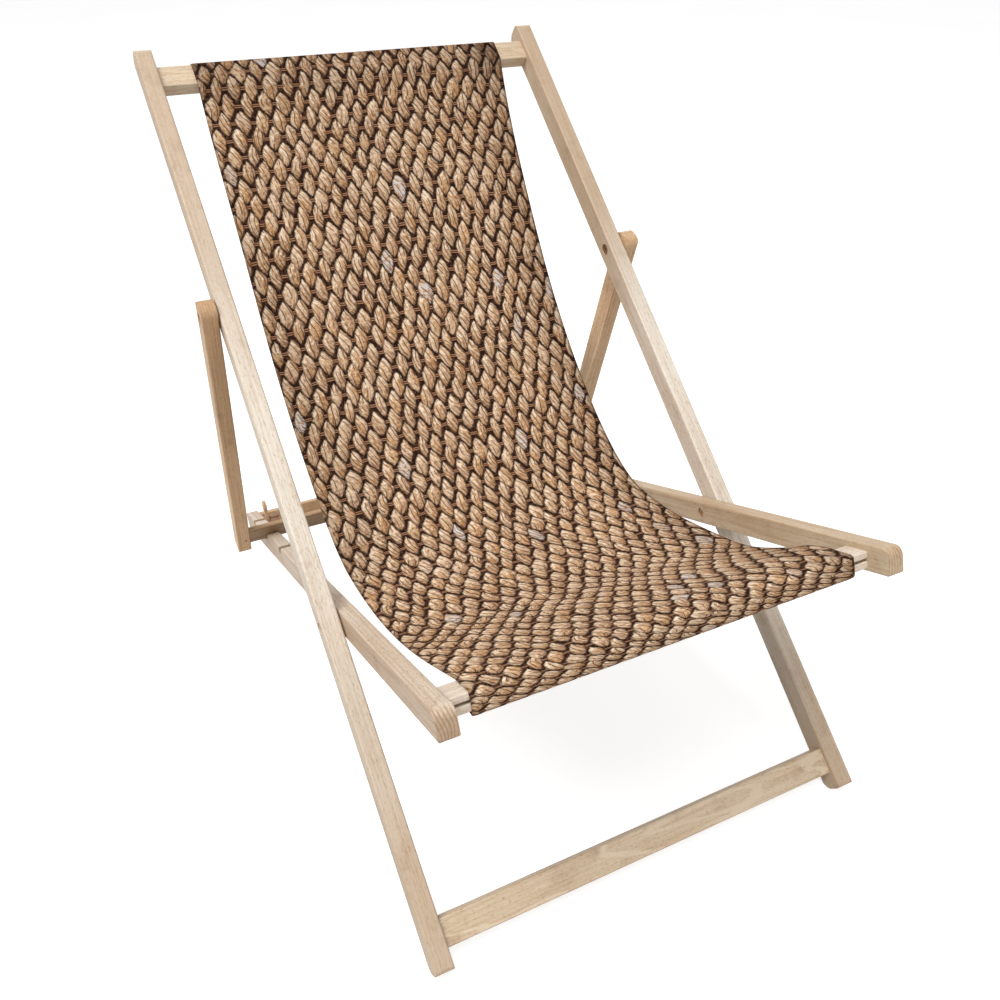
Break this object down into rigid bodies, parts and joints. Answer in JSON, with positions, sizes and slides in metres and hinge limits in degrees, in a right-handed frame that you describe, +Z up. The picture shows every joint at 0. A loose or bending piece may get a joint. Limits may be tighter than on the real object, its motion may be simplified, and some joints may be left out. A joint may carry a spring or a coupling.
{
  "type": "wooden deckchair",
  "caption": "Folding wooden deckchair: crossed rail frames, a notched recline prop and a hanging woven-print sling seat.",
  "frame": {"origin": "centre of the chair's footprint box, on the floor", "axes": "+X to the right seen from the front, +Y from the front edge of the seat to the back, +Z up"},
  "size_m": [0.603, 0.9094, 0.7469],
  "materials": {
    "beech": "fine-sanded pale beech, clear matt lacquer",
    "beech_tan": "sanded tan beech, clear matt lacquer",
    "beech_turned": "turned hardwood",
    "sling_cloth": "heavy woven cloth printed with a basket weave",
    "zinc_steel": "zinc-plated, slightly dull",
    "nail_steel": "dull nail head",
    "staple_steel": "galvanised wire"
  },
  "bodies": {
    "main_frame": {"main_rail_left": "beech", "main_rail_right": "beech", "top_board": "beech", "foot_bar": "beech", "main_dowels": "beech_turned", "seat_pivot_bolts": "zinc_steel", "seat_pivot_nuts": "zinc_steel", "seat_pivot_washers": "zinc_steel", "prop_pivot_bolts": "zinc_steel", "prop_pivot_nuts": "zinc_steel", "prop_pivot_washers": "zinc_steel", "sling_back": "sling_cloth", "sling_staples_back": "staple_steel"},
    "seat_frame": {"seat_rail_left": "beech", "seat_rail_right": "beech", "front_slat_upper": "beech", "front_slat_lower": "beech", "seat_rear_board": "beech_tan", "rear_board_dowels": "beech_turned", "latch_peg": "beech_turned", "latch_knob": "beech_turned", "sling_seat": "sling_cloth", "sling_staples_front": "staple_steel"},
    "prop_frame": {"prop_rail_left": "beech_tan", "prop_rail_right": "beech_tan", "prop_bar": "beech_tan", "prop_bar_nails": "nail_steel"}
  },
  "joints": [
    {"name": "seat_fold", "type": "hinge", "parent": "main_frame", "child": "seat_frame", "pos_m": [0, -0.15245, 0.24845], "axis": [-1, 0, 0], "range_deg": [0, 113.5]},
    {"name": "prop_fold", "type": "hinge", "parent": "main_frame", "child": "prop_frame", "pos_m": [0, 0.15388, 0.50098], "axis": [-1, 0, 0], "range_deg": [0, 62.65]}
  ],
  "couplings": [
    {"joint": "prop_fold", "follows": "seat_fold", "ratio": 0.552}
  ]
}
